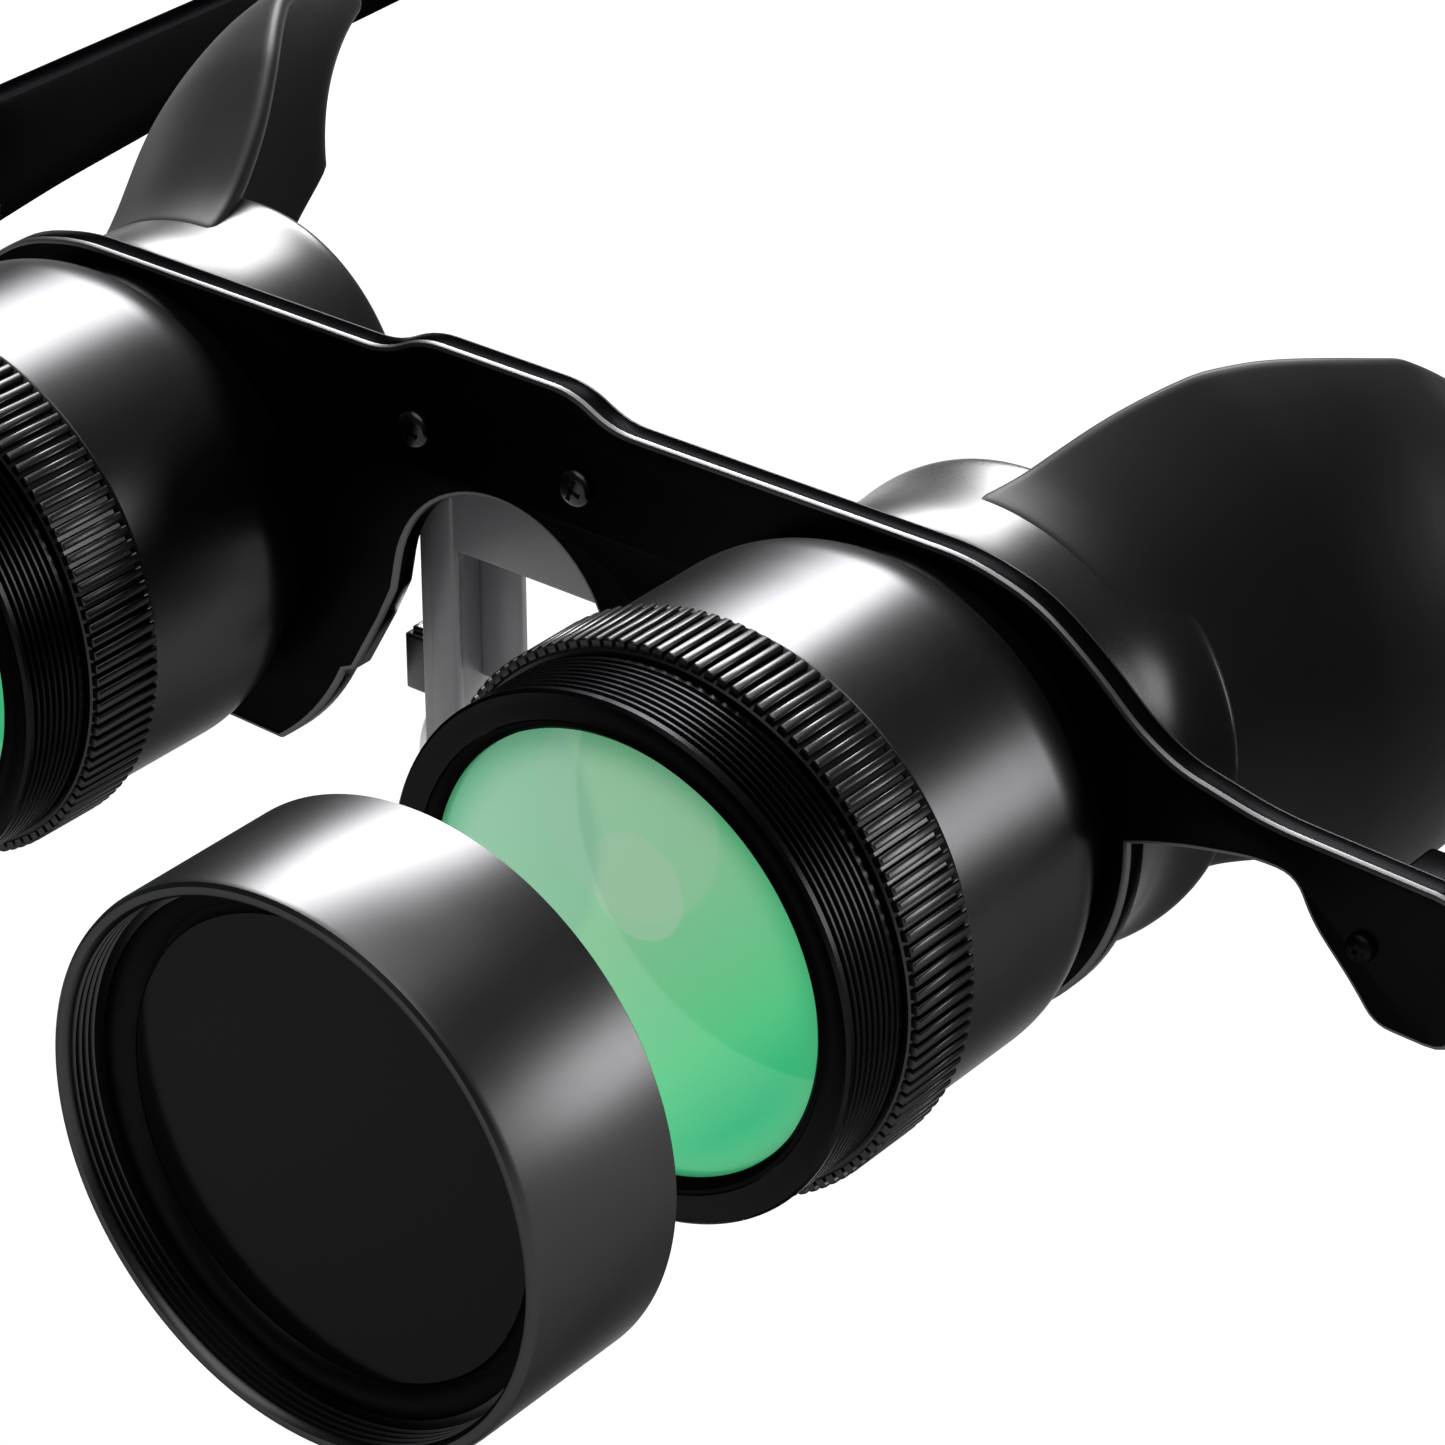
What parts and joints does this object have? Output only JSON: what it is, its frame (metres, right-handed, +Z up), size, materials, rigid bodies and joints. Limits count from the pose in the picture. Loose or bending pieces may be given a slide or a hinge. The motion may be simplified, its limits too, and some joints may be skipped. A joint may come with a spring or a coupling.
{
  "type": "binocular glasses",
  "caption": "Head-worn binocular glasses: twin focusing telescopes on a black front plate, folding temples, winged rubber eyecups, sliding nose pads and pull-off dark filters.",
  "frame": {"origin": "middle of the nose rest, midway between the two nose pads", "axes": "+X across the face from the left telescope to the right one, as seen from the front, -Y the way the wearer looks, +Y back along the open temples, +Z up"},
  "size_m": [0.1538, 0.1828, 0.0427],
  "materials": {
    "black_plate": "black anodised, satin",
    "black_barrel": "black anodised, glossy",
    "ribbed_black": "black anodised, machined ribs",
    "coated_lens": "green anti-reflection coating",
    "clear_lens": "polished",
    "dark_glass": "polished, dark neutral tint",
    "black_rubber": "soft matt",
    "grey_plastic": "satin moulded",
    "dark_plastic": "moulded",
    "clear_silicone": "soft translucent silicone",
    "bright_plating": "polished plating",
    "dark_steel": "blackened steel",
    "brass": "turned, knurled"
  },
  "bodies": {
    "frame": {"front_plate": "black_plate", "bridge_screws": "dark_steel", "bridge_inserts": "brass", "nose_bracket": "grey_plastic", "hinge_screws": "dark_steel", "barrel_body_left": "black_barrel", "barrel_body_right": "black_barrel", "guide_pin_left": "dark_steel", "guide_pin_right": "dark_steel", "clamp_nut_left": "black_barrel", "clamp_nut_right": "black_barrel", "eyepiece_cell_left": "black_barrel", "eyepiece_cell_right": "black_barrel", "eyepiece_lens_left": "clear_lens", "eyepiece_lens_right": "clear_lens", "eyepiece_retainer_left": "black_barrel", "eyepiece_retainer_right": "black_barrel", "focus_clip_left": "dark_steel", "focus_clip_right": "dark_steel", "eyecup_left": "black_rubber", "eyecup_right": "black_rubber", "eyecup_wing_left": "black_rubber", "eyecup_wing_right": "black_rubber", "hinge_block_left": "black_plate", "hinge_block_right": "black_plate", "hinge_pin_left": "dark_steel", "hinge_pin_right": "dark_steel"},
    "left_focus_ring": {"focus_ring_left": "ribbed_black"},
    "left_objective": {"objective_cell_left": "black_barrel", "objective_seal_left": "black_rubber", "objective_lens_left": "coated_lens", "objective_bezel_left": "black_barrel"},
    "left_filter": {"filter_ring_left": "black_barrel", "filter_glass_left": "dark_glass", "filter_bezel_left": "black_barrel"},
    "left_temple": {"temple_left": "black_plate", "ear_tip_left": "black_rubber"},
    "left_nose_slider": {"nose_slider_left": "dark_plastic", "pad_arm_left": "bright_plating", "nose_pad_left": "clear_silicone"},
    "right_focus_ring": {"focus_ring_right": "ribbed_black"},
    "right_objective": {"objective_cell_right": "black_barrel", "objective_seal_right": "black_rubber", "objective_lens_right": "coated_lens", "objective_bezel_right": "black_barrel"},
    "right_filter": {"filter_ring_right": "black_barrel", "filter_glass_right": "dark_glass", "filter_bezel_right": "black_barrel"},
    "right_temple": {"temple_right": "black_plate", "ear_tip_right": "black_rubber"},
    "right_nose_slider": {"nose_slider_right": "dark_plastic", "pad_arm_right": "bright_plating", "nose_pad_right": "clear_silicone"}
  },
  "joints": [
    {"name": "left_focus_turn", "type": "hinge", "parent": "frame", "child": "left_focus_ring", "pos_m": [-0.032, -0.03, 0.0165], "axis": [0, -1, 0], "range_deg": [0, 150]},
    {"name": "left_objective_slide", "type": "slide", "parent": "frame", "child": "left_objective", "axis": [0, -1, 0], "range_m": [0, 0.0025]},
    {"name": "left_filter_slide", "type": "slide", "parent": "left_objective", "child": "left_filter", "axis": [0, 1, 0], "range_m": [0, 0.021]},
    {"name": "left_temple_fold", "type": "hinge", "parent": "frame", "child": "left_temple", "pos_m": [-0.0732, 0.011, 0.0165], "axis": [0, 0, -1], "range_deg": [0, 90], "deforming": ["eyecup_wing_left"]},
    {"name": "left_nose_slide", "type": "slide", "parent": "frame", "child": "left_nose_slider", "axis": [0, 0, 1], "range_m": [-0.003, 0.003]},
    {"name": "right_focus_turn", "type": "hinge", "parent": "frame", "child": "right_focus_ring", "pos_m": [0.032, -0.03, 0.0165], "axis": [0, -1, 0], "range_deg": [0, 150]},
    {"name": "right_objective_slide", "type": "slide", "parent": "frame", "child": "right_objective", "axis": [0, -1, 0], "range_m": [0, 0.0025]},
    {"name": "right_filter_slide", "type": "slide", "parent": "right_objective", "child": "right_filter", "axis": [0, 1, 0], "range_m": [0, 0.021]},
    {"name": "right_temple_fold", "type": "hinge", "parent": "frame", "child": "right_temple", "pos_m": [0.0732, 0.011, 0.0165], "axis": [0, 0, 1], "range_deg": [0, 80], "deforming": ["eyecup_wing_right"]},
    {"name": "right_nose_slide", "type": "slide", "parent": "frame", "child": "right_nose_slider", "axis": [0, 0, 1], "range_m": [-0.003, 0.003]}
  ],
  "couplings": [
    {"joint": "left_objective_slide", "follows": "left_focus_turn", "m_per_rad": 0.00095},
    {"joint": "right_objective_slide", "follows": "right_focus_turn", "m_per_rad": 0.00095}
  ]
}
